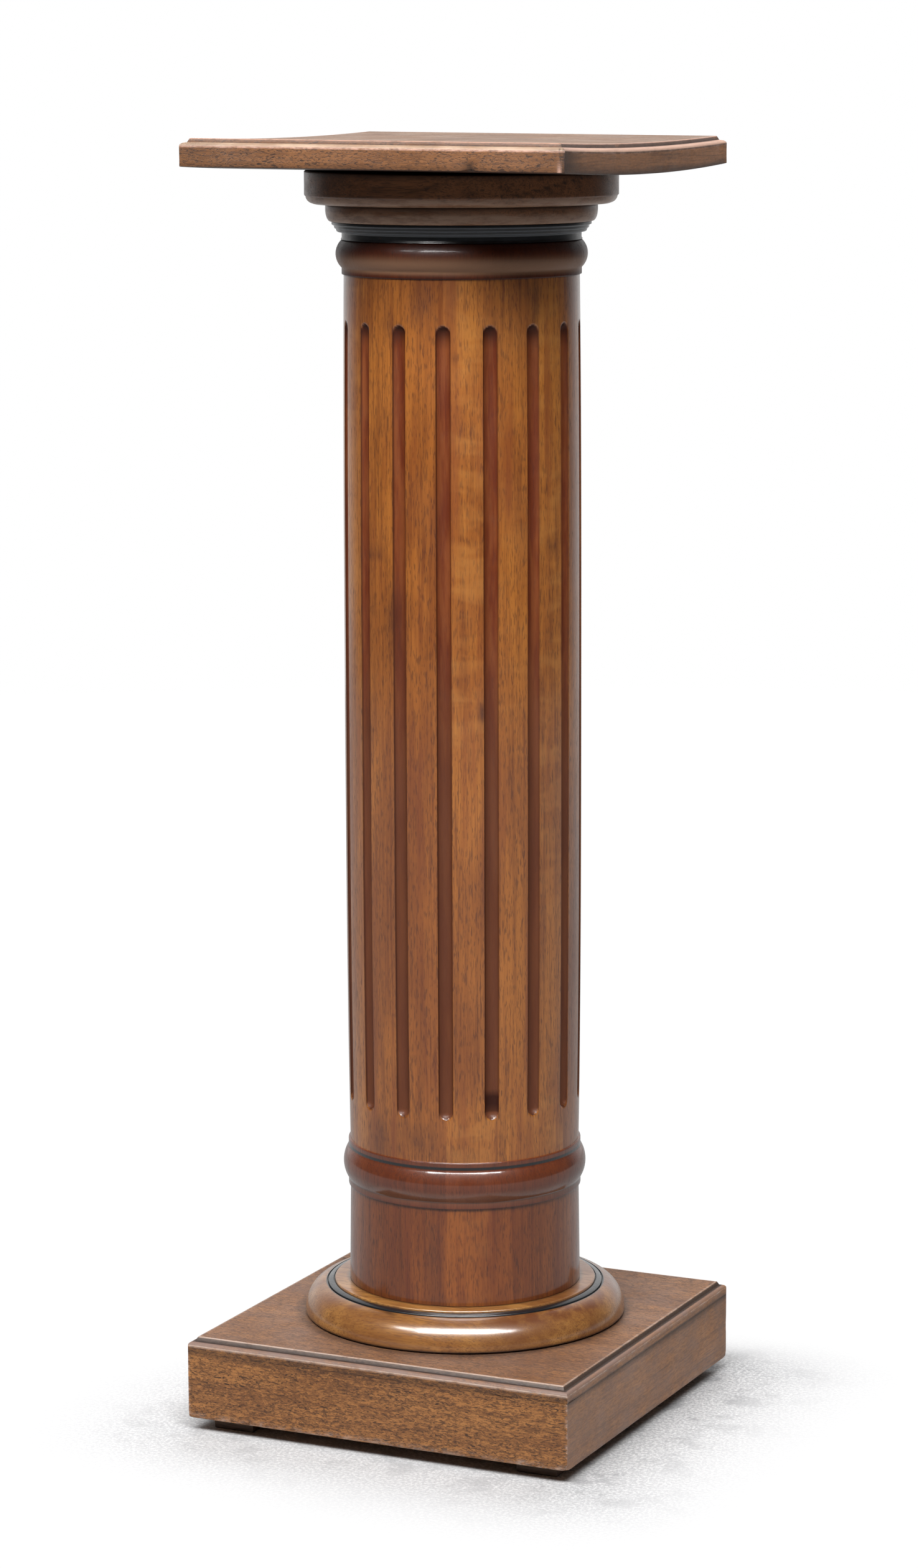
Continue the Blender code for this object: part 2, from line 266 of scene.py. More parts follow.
class Wood(Nodes):
    """A node material, in metres of the object's own space."""

    def __init__(self, name):
        self.material = bpy.data.materials.new(name)
        self.material.use_nodes = True
        super().__init__(self.material.node_tree)
        self.shader = self.tree.nodes["Principled BSDF"]
        self.space = self.node("ShaderNodeTexCoord").outputs["Object"]

    def attribute(self, name):
        return self.node("ShaderNodeAttribute", attribute_name=name).outputs["Fac"]

    def noise(self, scale, detail=3.0, rough=0.55, distortion=0.0, turn=(0, 0, 0), shift=(0, 0, 0)):
        """Noise in the object's space, with so many waves to the metre along each of its axes."""
        mapping = self.node("ShaderNodeMapping")
        self.feed(mapping.inputs["Vector"], self.space)
        mapping.inputs["Location"].default_value = shift
        mapping.inputs["Rotation"].default_value = turn
        mapping.inputs["Scale"].default_value = scale
        made = self.node("ShaderNodeTexNoise")
        self.feed(made.inputs["Vector"], mapping.outputs["Vector"])
        made.inputs["Scale"].default_value = 1.0
        made.inputs["Detail"].default_value = detail
        made.inputs["Roughness"].default_value = rough
        made.inputs["Distortion"].default_value = distortion
        return made.outputs["Fac"]

    def tint(self, colour, by):
        return self.mix(1.0, colour, by, blend="MULTIPLY")

    def relief(self, streaks, pores, depth):
        return self.math("SUBTRACT", self.math("MULTIPLY", streaks, depth), pores)

    def roughness(self, scale, detail, low, high, pores, extra):
        """Patchy roughness from low to high, and extra more of it in the pores."""
        dull = self.noise(scale, detail=detail)
        return self.math("ADD", self.span(dull, 0.3, 0.7, low, high), self.math("MULTIPLY", pores, extra))

    def finish(self, colour, rough, height, bump=0.3, distance=0.0003, coat=0.0, coat_rough=0.1, gloss=0.5):
        self.feed(self.shader.inputs["Base Color"], colour)
        self.feed(self.shader.inputs["Roughness"], rough)
        self.shader.inputs["Specular IOR Level"].default_value = gloss
        self.feed(self.shader.inputs["Coat Weight"], coat)
        self.shader.inputs["Coat Roughness"].default_value = coat_rough
        self.shader.inputs["Coat IOR"].default_value = POLISH_IOR
        bumped = self.node("ShaderNodeBump")
        bumped.inputs["Strength"].default_value = bump
        bumped.inputs["Distance"].default_value = distance
        self.feed(bumped.inputs["Height"], height)
        self.feed(self.shader.inputs["Normal"], bumped.outputs["Normal"])
        return self.material


# Wood

# Directions of the grain, as numbers of the axes
ALONG_X, ALONG_Y, UP = 0, 1, 2


def grain(wood, direction, light, middle, dark, pore, shift=0.0, pore_amount=0.75, wave=0.0, pore_length=1.0,
          density=0.0, fleck=0.0):
    """Mahogany figure: clouds, streaks along the grain and short dark pores. Gives colour, pores, streaks."""
    at = (shift, shift * 0.7, shift * 0.3)

    def figure(across, along, **settings):
        scale = tuple(along if axis == direction else across for axis in range(3))
        return wood.noise(scale, shift=at, **settings)

    clouds = figure(24, 5, detail=4.0, distortion=0.6)
    streaks = figure(190, 6, detail=3.0, rough=0.6)
    threads = figure(700, 18, detail=2.0, distortion=wave)
    pores = figure(1150, 95 / pore_length, detail=1.5, rough=0.5, distortion=wave)
    ticks = figure(700, 60 / pore_length, detail=1.0, rough=0.4, distortion=wave)
    thick = figure(55, 18, detail=2.0)
    colour = wood.mix(wood.span(clouds, 0.34, 0.66), middle, light)
    colour = wood.mix(wood.math("MULTIPLY", wood.span(streaks, 0.46, 0.70), 0.50), colour, dark)
    colour = wood.mix(wood.math("MULTIPLY", wood.span(threads, 0.48, 0.70), 0.42), colour, dark)
    colour = wood.mix(wood.math("MULTIPLY", wood.span(threads, 0.46, 0.32), 0.30), colour, light)
    flecks = figure(560, 170, detail=2.0, rough=0.7, distortion=wave)
    colour = wood.mix(wood.math("MULTIPLY", wood.span(flecks, 0.46, 0.62), fleck), colour, dark)
    colour = wood.mix(wood.math("MULTIPLY", wood.span(flecks, 0.46, 0.34), fleck), colour, light)
    fine = wood.math("MULTIPLY", wood.span(pores, 0.54 - density, 0.66 - density), 0.8)
    long_pores = wood.span(ticks, 0.62 - density, 0.70 - density)
    bold = wood.math("MULTIPLY", long_pores, wood.span(thick, 0.40, 0.60, 0.3, 1.0))
    pore_mask = wood.math("MAXIMUM", fine, bold)
    colour = wood.mix(wood.math("MULTIPLY", pore_mask, pore_amount), colour, pore)
    return colour, pore_mask, streaks


def shaft_material():
    wood = Wood("fluted_shaft_mahogany")
    colour, pores, streaks = grain(
        wood, UP, (0.42, 0.151, 0.024), (0.27, 0.086, 0.015), (0.135, 0.034, 0.008), (0.060, 0.017, 0.006),
        pore_amount=0.65, pore_length=0.7)
    stave = wood.attribute("stave")
    curl = wood.noise((26, 26, 55), turn=(0.5, 0.4, 0), shift=(1, 4, 2), detail=2.0, distortion=0.5)
    figure = wood.math("MULTIPLY", wood.span(curl, 0.42, 0.70), wood.span(stave, 0.6, 1.0, 0.0, 0.34))
    colour = wood.mix(figure, colour, (0.47, 0.20, 0.045))
    warm = wood.noise((75, 75, 5), shift=(2, 2, 5), detail=3.0, rough=0.6)
    colour = wood.mix(wood.span(warm, 0.48, 0.72, 0.0, 0.6), colour, (0.20, 0.050, 0.012))
    colour = wood.mix(stave, wood.tint(colour, (0.58, 0.47, 0.50)), colour)
    red = wood.tint(colour, (0.42, 0.27, 0.45))
    bare = wood.noise((130, 130, 14), shift=(5, 1, 3), detail=4.0, rough=0.65)
    flute_colour = wood.mix(wood.span(bare, 0.36, 0.66), (0.115, 0.022, 0.007), (0.215, 0.062, 0.018))
    flute_colour = wood.mix(0.35, flute_colour, red)
    flute_colour = wood.mix(wood.attribute("dust"), flute_colour, (0.098, 0.036, 0.019))
    colour = wood.mix(wood.attribute("flute"), colour, flute_colour)
    colour = wood.mix(wood.attribute("turned"), colour, wood.mix(0.35, red, (0.12, 0.032, 0.012)))
    colour = wood.mix(wood.attribute("drum"), colour, wood.tint(colour, (0.70, 0.56, 0.47)))
    # Painted shade: a darker top zone under the top board, a darker neck and dark lines in the quirks.
    colour = wood.mix(wood.attribute("painted_shade_and_dark_tone"), colour, wood.tint(colour, (0.42, 0.36, 0.40)))
    # Painted reflection of the floor: lighter lower halves of the neck torus and the astragal.
    colour = wood.mix(wood.attribute("wear_and_painted_reflection"), colour, (0.22, 0.115, 0.065))
    colour = wood.mix(wood.attribute("rim"), colour, (0.028, 0.006, 0.003))
    blotch = wood.noise((120, 120, 50), detail=4.0, rough=0.7)
    marks = wood.math("MULTIPLY", wood.attribute("mark"), wood.span(blotch, 0.38, 0.58, 0.6, 1.1))
    colour = wood.mix(marks, colour, (0.062, 0.018, 0.009))
    colour = wood.mix(wood.attribute("black"), colour, (0.006, 0.006, 0.007))
    rough = wood.roughness((35, 35, 14), 3.0, 0.34, 0.48, pores, 0.15)
    polish = wood.math("ADD", wood.math("MULTIPLY", wood.attribute("matt"), -0.72), 0.75)
    return wood.finish(
        colour, rough, wood.relief(streaks, pores, 0.25), bump=0.2, coat=polish, coat_rough=0.13, gloss=0.15)


def ring_material():
    wood = Wood("base_ring_mahogany")
    colour, pores, streaks = grain(
        wood, ALONG_X, (0.44, 0.215, 0.055), (0.31, 0.13, 0.03), (0.15, 0.052, 0.013), (0.045, 0.016, 0.007),
        shift=3.1, pore_amount=0.55)
    # Random darker clouds in the ring's tone.
    painted_shade_and_dark_tone = wood.noise((14, 14, 14), shift=(2, 0, 1), detail=3.0)
    colour = wood.mix(wood.span(painted_shade_and_dark_tone, 0.42, 0.62, 0.0, 0.6), colour, (0.15, 0.050, 0.014))
    cloudy = wood.noise((38, 38, 60), shift=(1, 7, 3), detail=4.0, rough=0.65)
    shade = wood.math("MULTIPLY", wood.attribute("shade"), wood.span(cloudy, 0.35, 0.62, 0.45, 1.2))
    colour = wood.mix(shade, colour, (0.125, 0.040, 0.012))
    colour = wood.mix(wood.attribute("dirt_and_painted_shade"), colour, (0.020, 0.010, 0.006))
    colour = wood.mix(wood.attribute("black"), colour, (0.007, 0.008, 0.010))
    rough = wood.roughness((50, 50, 50), 3.0, 0.30, 0.42, pores, 0.15)
    return wood.finish(
        colour, rough, wood.relief(streaks, pores, 0.2), bump=0.15, coat=0.9, coat_rough=0.19, gloss=0.2)


def dark_material():
    wood = Wood("capital_dark_mahogany")
    colour, pores, streaks = grain(
        wood, ALONG_X, (0.18, 0.07, 0.027), (0.098, 0.036, 0.014), (0.035, 0.014, 0.006),
        (0.01, 0.005, 0.004),
        shift=7.7, pore_amount=0.6)
    # Painted reflection of the floor: lighter, patchy colour on the lower curves of the echinus and the
    # abacus.
    reflection_patches = wood.noise((40, 40, 200), shift=(3, 1, 0), detail=4.0, rough=0.65)
    worn_and_painted_light = wood.math("MULTIPLY", wood.attribute("wear_and_painted_reflection"), wood.span(reflection_patches, 0.35, 0.6, 0.35, 1.0))
    colour = wood.mix(worn_and_painted_light, colour, (0.26, 0.155, 0.100))
    # Dirt and painted shade: near-black at the tops of the echinus and the abacus, under the parts above
    # them.
    colour = wood.mix(wood.attribute("dirt_and_painted_shade"), colour, (0.008, 0.005, 0.004))
    rough = wood.roughness((50, 50, 90), 3.0, 0.32, 0.46, pores, 0.12)
    return wood.finish(
        colour, rough, wood.relief(streaks, pores, 0.2), bump=0.15, coat=0.2, coat_rough=0.16, gloss=0.2)


def ebonised_material():
    wood = Wood("ebonised_wood")
    fine = wood.noise((120, 120, 400), detail=3.0)
    worn_and_painted_light = wood.noise((45, 45, 80), shift=(4, 2, 1), detail=4.0, rough=0.7)
    colour = wood.mix(wood.span(fine, 0.35, 0.7), (0.004, 0.004, 0.005), (0.010, 0.011, 0.014))
    colour = wood.mix(wood.span(worn_and_painted_light, 0.60, 0.72, 0.0, 0.6), colour, (0.035, 0.018, 0.012))
    # Painted highlights: pale bluish lines along the edges of the steps.
    colour = wood.mix(wood.attribute("line"), colour, (0.11, 0.12, 0.135))
    rough = wood.span(worn_and_painted_light, 0.3, 0.7, 0.28, 0.45)
    return wood.finish(colour, rough, fine, bump=0.12, coat=0.22, coat_rough=0.14, gloss=0.3)


def board_material(name, tones, shift, wear_and_highlight_colour, sheen_colour, rough_low, rough_high, fleck):
    """Wood of a square board: tones are light, middle, dark and pores; end grain lies on its two sides."""
    wood = Wood(name)
    light, middle, dark, pore = tones
    colour, pores, streaks = grain(
        wood, ALONG_X, light, middle, dark, pore, shift=shift, pore_amount=0.9, wave=1.0, pore_length=0.34,
        density=0.02, fleck=fleck)
    lit = tuple(1.5 * channel for channel in light)
    side_figure = grain(
        wood, ALONG_Y, lit, light, dark, pore, shift=shift + 5, pore_amount=0.3, fleck=fleck * 0.5)
    colour = wood.mix(wood.attribute("side_grain"), colour, side_figure[0])
    scuffs = wood.noise((120, 120, 300), detail=5.0, rough=0.75)
    clouds = wood.noise((30, 30, 60), detail=4.0, rough=0.6)
    wear_and_painted_reflection = wood.math("MULTIPLY", wood.attribute("wear_and_painted_reflection"), wood.span(scuffs, 0.42, 0.62))
    colour = wood.mix(wear_and_painted_reflection, colour, wear_and_highlight_colour)
    # Painted sheen: highlights on the shoulders, sheen on the tops and reflection on the side faces.
    painted_sheen = wood.math("MULTIPLY", wood.attribute("painted_sheen"), wood.span(clouds, 0.3, 0.7, 0.5, 1.0))
    colour = wood.mix(painted_sheen, colour, sheen_colour)
    # Dirt and painted shade: real joints, seams, stains and grime, with painted shade under the mouldings and
    # along the top board's underside.
    colour = wood.mix(wood.attribute("dirt_and_painted_shade"), colour, (0.018, 0.009, 0.006))
    # Worn lines along the rims and edges, and on the top board's sides a painted highlight along the
    # shoulder.
    line = wood.math("MULTIPLY", wood.attribute("line"), wood.span(scuffs, 0.3, 0.5, 0.5, 1.0))
    colour = wood.mix(line, colour, wear_and_highlight_colour)
    rough = wood.roughness((22, 22, 22), 4.0, rough_low, rough_high, pores, 0.12)
    return wood.finish(colour, rough, wood.relief(streaks, pores, 0.25), bump=0.25, gloss=0.4)


def foot_material():
    wood = Wood("foot_softwood")
    # Painted shade: the colours are darkened to stand in for the shade under the plinth.
    figure = grain(
        wood, ALONG_X, (0.09, 0.05, 0.03), (0.06, 0.034, 0.02), (0.035, 0.02, 0.012), (0.02, 0.01, 0.007),
        shift=1.9)
    return wood.finish(figure[0], 0.75, figure[2], distance=0.0004)


# Turned pieces

def shaft_radius(height, low, high):
    middle = (low + high) / 2
    away = (height - middle) / (SHAFT_HEIGHT / 2)
    end = np.where(away > 0, SHAFT_TOP_RADIUS, SHAFT_FOOT_RADIUS)
    return SHAFT_BELLY_RADIUS - (SHAFT_BELLY_RADIUS - end) * np.minimum(1.0, np.abs(away)) ** ENTASIS_POWER


def off_flute(turns):
    """Turning angle from the middle of the nearest flute, below zero on its left."""
    return (turns - FLUTE_PHASE + FLUTE_PITCH / 2) % FLUTE_PITCH - FLUTE_PITCH / 2


def flute_angles():
    """Turning angles that lie close together over each flute and its two arrises."""
    half = [0.06, 0.75, 1.45, 2.05, 2.55, 2.95, 3.25, 3.45, 3.60, 3.80, 4.4, 6.0, 8.2, 10.2]
    offsets = sorted([-x for x in half] + half)
    middles = [FLUTE_PHASE + FLUTE_PITCH * k for k in range(FLUTE_COUNT)]
    return np.array([middle + math.radians(x) for middle in middles for x in offsets])


# Marks on the shaft: turning angle in degrees, height, width and length in metres, strength
SHAFT_MARKS = [
    (-9.6, 0.637, 0.0075, 0.030, 0.7),
    (-22.9, 0.692, 0.011, 0.0035, 0.8),
    (34, 0.572, 0.0025, 0.008, 0.9),
    (72, 0.698, 0.006, 0.006, 0.8),
    (23.2, 0.849, 0.0012, 0.006, 0.9),
    (21.5, 0.842, 0.0025, 0.004, 0.6),
    (-22, 0.231, 0.010, 0.014, 0.7),
    (1.4, 0.235, 0.020, 0.012, 0.5),
    (-30, 0.560, 0.006, 0.020, 0.4),
    (5, 0.885, 0.008, 0.016, 0.5),
    (62, 0.880, 0.005, 0.018, 0.5),
    (-12, 0.868, 0.005, 0.012, 0.4),
    (10, 0.140, 0.0075, 0.045, 0.5),
    (22, 0.222, 0.016, 0.010, 0.35),
    (140, 0.500, 0.010, 0.040, 0.4),
    (205, 0.330, 0.012, 0.030, 0.4),
    (170, 0.780, 0.014, 0.010, 0.4),
]

# Tone of each stave, from dark 0 to light 1, from the stave right of the first flute on
STAVE_TONES = [1.0, 0.78, 1.0, 0.60, 0.85, 0.70, 0.9, 0.62, 0.8, 0.7, 0.9, 0.6, 0.75, 0.85, 0.66, 0.42]
DRUM_TONES = [0.85, 0.45, 0.65, 0.80, 0.55, 0.70, 0.9, 0.50, 0.8, 0.6, 0.9, 0.6, 0.55, 0.65, 0.40, 0.45]


def build_shaft(material):
    low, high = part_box("column_shaft")
    drum_top = low.z + DRUM_HEIGHT
    lower_edge = drum_top + ASTRAGAL_LOWER_FILLET
    upper_edge = lower_edge + ASTRAGAL_HEIGHT
    shaft_low = upper_edge + ASTRAGAL_UPPER_FILLET
    shaft_high = shaft_low + SHAFT_HEIGHT
    neck_edge = shaft_high + NECK_FILLET
    flute_low = shaft_low + FLUTE_FOOT_MARGIN
    flute_high = shaft_high - FLUTE_TOP_MARGIN
    neck_radius = SHAFT_TOP_RADIUS + FILLET_PROUD
    upper_radius = SHAFT_FOOT_RADIUS + FILLET_PROUD
    lower_radius = DRUM_TOP_RADIUS + FILLET_PROUD

    outline = [(0, high.z), (neck_radius - 0.002, high.z)]
    outline += arc((neck_radius, high.z), (neck_radius, neck_edge), NECK_TORUS_PROUD, 18)
    outline += ledge([(neck_radius, neck_edge), (neck_radius, shaft_high), (SHAFT_TOP_RADIUS, shaft_high),
                      (SHAFT_TOP_RADIUS, shaft_high - 0.002)])[1:]
    ends = [0.0012 * k for k in range(7)]
    run_high, run_low = flute_high - FLUTE_CUT_RADIUS, flute_low + FLUTE_CUT_RADIUS
    heights = [shaft_high - 0.008, shaft_high - 0.018, shaft_high - 0.028, flute_high + 0.001]
    heights += [flute_high - e for e in ends]
    heights += list(np.linspace(run_high, run_low, 100)[1:-1])
    heights += [flute_low + e for e in reversed(ends)]
    heights += [flute_low - 0.001, shaft_low + 0.024, shaft_low + 0.014, shaft_low + 0.006, shaft_low + 0.002]
    outline += [(float(shaft_radius(z, shaft_low, shaft_high)), float(z)) for z in heights]
    outline += ledge([(SHAFT_FOOT_RADIUS, shaft_low + 0.001), (SHAFT_FOOT_RADIUS, shaft_low),
                      (upper_radius, shaft_low), (upper_radius, upper_edge)])
    outline += arc((upper_radius, upper_edge), (lower_radius, lower_edge), ASTRAGAL_PROUD, 18)[1:]
    outline += ledge([(lower_radius, lower_edge), (lower_radius, drum_top), (DRUM_TOP_RADIUS, drum_top),
                      (DRUM_TOP_RADIUS, drum_top - 0.003)])[1:]
    drum = refine([(DRUM_TOP_RADIUS, drum_top - 0.003), (DRUM_FOOT_RADIUS, low.z)], 0.009)
    outline += drum[1:] + [(0, low.z)]

    def cut_flutes(radii, heights, turns):
        across = np.abs(off_flute(turns))
        beyond = np.maximum(0, np.maximum(run_low - heights, heights - run_high))
        centre = radii + FLUTE_CUT_RADIUS - FLUTE_DEPTH
        inside = FLUTE_CUT_RADIUS ** 2 - beyond ** 2 - (centre * np.sin(across)) ** 2
        floor = centre * np.cos(across) - np.sqrt(np.maximum(0, inside))
        fluted = (heights > flute_low - 0.0005) & (heights < flute_high + 0.0005) & (inside > 0)
        cut = np.where(fluted, np.minimum(radii, floor), radii)
        depth.append((radii - cut).ravel())
        return cut, heights

    depth = []
    piece, places = lathe(
        "fluted_column", outline, material, "column_shaft", flute_angles(), cut_flutes)
    depth = np.concatenate([[0], depth[0], [0]])
    x, y, z = places.T
    turn = np.arctan2(x, -y)
    offset = off_flute(turn)
    in_run = smoothstep(flute_low - 0.0008, flute_low + 0.004, z)
    in_run = in_run * smoothstep(flute_high + 0.0008, flute_high - 0.004, z)
    paint(piece, "flute", smoothstep(0.0, 0.0008, depth))
    edge = hump(np.abs(offset), FLUTE_ARRIS, math.radians(0.24))
    edge = edge * in_run * np.where(offset < 0, 1, 0.55)
    ends = hump(depth, 0.0008, 0.0012) * (1 - in_run) * (depth > 0)
    top_dirt = smoothstep(flute_high - 0.018, flute_high - 0.006, z) * smoothstep(0.0003, 0.0015, depth) * 0.8
    patch = smoothstep(0, 0.001, depth) * (np.abs(turn - FLUTE_PHASE - FLUTE_PITCH) < FLUTE_PITCH / 2)
    patch = patch * smoothstep(flute_low + 0.022, flute_low + 0.021, z)
    patch = patch * smoothstep(flute_low + 0.006, flute_low + 0.008, z)
    paint(piece, "rim", np.clip(0.95 * patch + 0.85 * edge + 0.9 * ends + top_dirt, 0, 1))
    stave = ((turn - FLUTE_PHASE) // FLUTE_PITCH).astype(int) % FLUTE_COUNT
    low_run = smoothstep(0.60, 0.42, z) * smoothstep(0.250, 0.285, z)
    tones = np.array(STAVE_TONES)[stave] - low_run * np.where(stave == 0, 0.5, 0.22)
    paint(piece, "stave", np.where(z < drum_top, np.array(DRUM_TONES)[stave], np.clip(tones, 0, 1)))
    on_neck = smoothstep(shaft_high - 0.0008, shaft_high - 0.0001, z)
    on_astragal = smoothstep(drum_top - 0.0006, drum_top, z) * smoothstep(shaft_low + 0.0004, shaft_low, z)
    paint(piece, "turned", np.clip(on_neck + on_astragal, 0, 1))
    paint(piece, "dust", 0.7 * smoothstep(0.68, 0.50, z))
    paint(piece, "matt", np.maximum(smoothstep(0.0, 0.0001, depth), 0.92 * on_neck))
    black = (z > upper_edge + 0.0002) & (z < upper_edge + 0.0031)
    paint(piece, "black", black.astype(float))
    # Painted shade: dark lines in the quirks, darker under the neck torus and on the neck, and a darker top
    # zone under the top board.
    quirks = [(neck_edge, 0.0004), (shaft_high, 0.0004), (lower_edge, 0.0005), (drum_top, 0.0005)]
    lines = sum(hump(z, place, width) for place, width in quirks)
    under_disc = 0.4 * smoothstep(high.z - 0.0095, high.z - 0.003, z)
    # Painted reflection of the floor on the lower half of the neck torus and, more faintly, on the lower
    # astragal.
    torus = smoothstep(high.z - 0.007, neck_edge + 0.005, z) * smoothstep(neck_edge - 0.004, neck_edge, z)
    astragal = smoothstep(lower_edge + 0.010, lower_edge + 0.006, z) * smoothstep(drum_top, lower_edge, z)
    paint(piece, "wear_and_painted_reflection", 0.85 * torus + 0.2 * astragal)
    paint(piece, "drum", smoothstep(drum_top + 0.0002, drum_top - 0.0002, z))
    paint(piece, "painted_shade_and_dark_tone", np.clip(0.35 * smoothstep(0.84, 0.90, z) + under_disc + 0.3 * on_neck + lines, 0, 1))
    mark = np.zeros(len(places))
    for degrees, height, width, length, strength in SHAFT_MARKS:
        beside = (turn - math.radians(degrees) + math.pi) % (2 * math.pi) - math.pi
        reach = (beside * SHAFT_BELLY_RADIUS / width) ** 2 + ((z - height) / length) ** 2
        mark = np.maximum(mark, strength * np.exp(-reach))
    foot = 0.45 * smoothstep(low.z + 0.012, low.z, z)
    paint(piece, "mark", np.clip(mark + foot, 0, 1))


def build_base_ring(material):
    low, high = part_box("base_ring")
    radius = high.x
    top = high.z
    belly = low.z + BASE_RING_BELLY_HEIGHT
    start = (radius - BASE_RING_BULGE, belly)
    rounding = quarter(start, BASE_RING_BULGE, top - 0.0030 - belly, 84, 0, 26)
    band_end = rounding[0][0] - 0.0014
    outline = [(0, top), (0.080, top), (BASE_SEAT_RADIUS - 0.0006, top), (BASE_SEAT_RADIUS, top - 0.0006)]
    outline += [(BASE_SEAT_RADIUS + 0.0003, top - 0.0026), (BASE_SEAT_RADIUS + 0.0008, top - 0.0026)]
    outline += [(BASE_SEAT_RADIUS + 0.0011, top - 0.0014), (band_end, top - 0.0026)]
    outline += [(band_end + 0.0002, top - 0.0048), (rounding[0][0] - 0.0004, top - 0.0048)]
    outline = soften(outline, 0.0003, 2) + rounding
    outline += quarter((radius - 0.0035, belly), 0.0035, belly - low.z, 0, -90, 5)[1:] + [(0, low.z)]
    piece, places = lathe("base_ring_turned", refine(outline, 0.004), material, "base_ring")
    reach, z = np.hypot(places[:, 0], places[:, 1]), places[:, 2]
    black = (reach > BASE_SEAT_RADIUS + 0.0001) & (reach < rounding[0][0] + 0.0002) & (z > top - 0.006)
    paint(piece, "black", black.astype(float))
    foot = smoothstep(low.z + 0.003, low.z + 0.0005, z) * (reach > radius - 0.02)
    seam = smoothstep(DRUM_FOOT_RADIUS + 0.0015, DRUM_FOOT_RADIUS, reach) * (z > top - 0.001)
    turn = np.degrees(np.arctan2(places[:, 0], -places[:, 1]))
    scratch = hump(turn, -7, 3.5) * hump(reach, 0.1165 + 0.0006 * turn, 0.0022)
    scratch = scratch * (z > low.z + 0.01)
    paint(piece, "dirt_and_painted_shade", np.clip(foot + 0.7 * seam + 0.7 * scratch, 0, 1))
    right = 0.6 * hump(turn, 72, 42)
    shoulder = 0.45 * smoothstep(top - 0.013, top - 0.005, z) * (reach > rounding[0][0])
    paint(piece, "shade", np.clip(right + shoulder + 0.25 * (np.abs(turn) > 120), 0, 1))


def build_neck_ring(material):
    low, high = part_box("neck_ring")
    base, waist, top = low.z, NECK_RING_WAIST, high.z
    outline = [(0, top), (NECK_RING_RADIUS, top), (NECK_RING_RADIUS, top - 0.0020)]
    outline += [(0.0991, top - 0.0026), (0.0984, top - 0.0026)]
    outline += [(0.0980, top - 0.0048), (0.0969, top - 0.0053)]
    outline += [(0.0963, top - 0.0072), (0.0955, top - 0.0077)]
    outline += [(waist + 0.0004, base + 0.0057), (waist, base + 0.0050), (waist, base + 0.0016)]
    outline += [(waist + 0.0008, base), (0, base)]
    side = refine(soften(outline, 0.0002, 2)[1:-1], 0.0007)
    outline = [outline[0]] + side + [outline[-1]]
    piece, places = lathe("neck_ring_turned", outline, material, "neck_ring")
    reach, z = np.hypot(places[:, 0], places[:, 1]), places[:, 2]
    # Painted highlights along the edges of the neck ring's steps.
    edges = [top - 0.0022, top - 0.0048, top - 0.0073, base + 0.0053]
    lines = sum(hump(z, edge, 0.00035) for edge in edges)
    paint(piece, "line", np.clip(0.9 * lines, 0, 1) * (reach > waist - 0.001))


def build_echinus(material):
    low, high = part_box("echinus_disc")
    radius, top = high.x, high.z
    outline = [(0, top), (radius - 0.0004, top), (radius, top - 0.0005)]
    outline += quarter((radius - 0.0038, low.z + 0.0095), 0.0038, 0.0095, 0, -86, 16) + [(0, low.z)]
    piece, places = lathe("echinus_turned", refine(outline, 0.002), material, "echinus_disc")
    z = places[:, 2]
    # Painted shade: darker at the top, under the abacus.
    paint(piece, "dirt_and_painted_shade", 0.8 * smoothstep(top - 0.004, top, z))
    # A little lighter all over, and lighter still on the lower curve as painted reflection of the floor.
    paint(piece, "wear_and_painted_reflection", 0.35 + 0.6 * smoothstep(low.z + 0.0095, low.z + 0.006, z))


def build_abacus(material):
    low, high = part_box("abacus_disc")
    radius, top = high.x, high.z
    outline = [(0, top), (radius - 0.0006, top), (radius, top - 0.0008), (radius, low.z + 0.0068)]
    outline += [(radius - 0.0006, low.z + 0.0060)]
    outline += arc((radius - 0.0010, low.z + 0.0060), (radius - 0.0058, low.z + 0.0004), 0.0012, 8)
    outline += [(radius - 0.0068, low.z), (0, low.z)]
    outline = refine(soften(outline, 0.0003, 2), 0.002)

    def follow_board(radii, heights, turns):
        rise = np.clip((heights - low.z - 0.008) / (top - low.z - 0.008), 0, 1)
        return radii, heights - TOP_TILT * radii * np.sin(turns) * rise

    piece, places = lathe("abacus_turned", outline, material, "abacus_disc", shape=follow_board)
    x, y, z = places.T
    turn = np.degrees(np.arctan2(x, -y))
    # A dark slanted line near the top on the right side.
    dark_slant = hump(z, top - 0.0015 - (78 - turn) * 0.00042, 0.00045) * (turn > 42) * (turn < 80)
    # Painted shade: darker towards the top, under the top board.
    paint(piece, "dirt_and_painted_shade", np.maximum(0.7 * smoothstep(top - 0.006, top, z), 0.9 * dark_slant))
    # Painted reflection of the floor on the lower rounded edge.
    paint(piece, "wear_and_painted_reflection", 0.9 * smoothstep(low.z + 0.0062, low.z + 0.0055, z))


# Square boards

def side_lines(extra=()):
    """Positions across a board, from -1 to 1, closer together near the corners."""
    even = np.linspace(-1, 1, 85)
    corners = [0.985, 0.993, 0.998]
    lines = sorted(set(np.round(np.concatenate([even, corners, [-c for c in corners], list(extra)]), 5)))
    return np.array(lines)


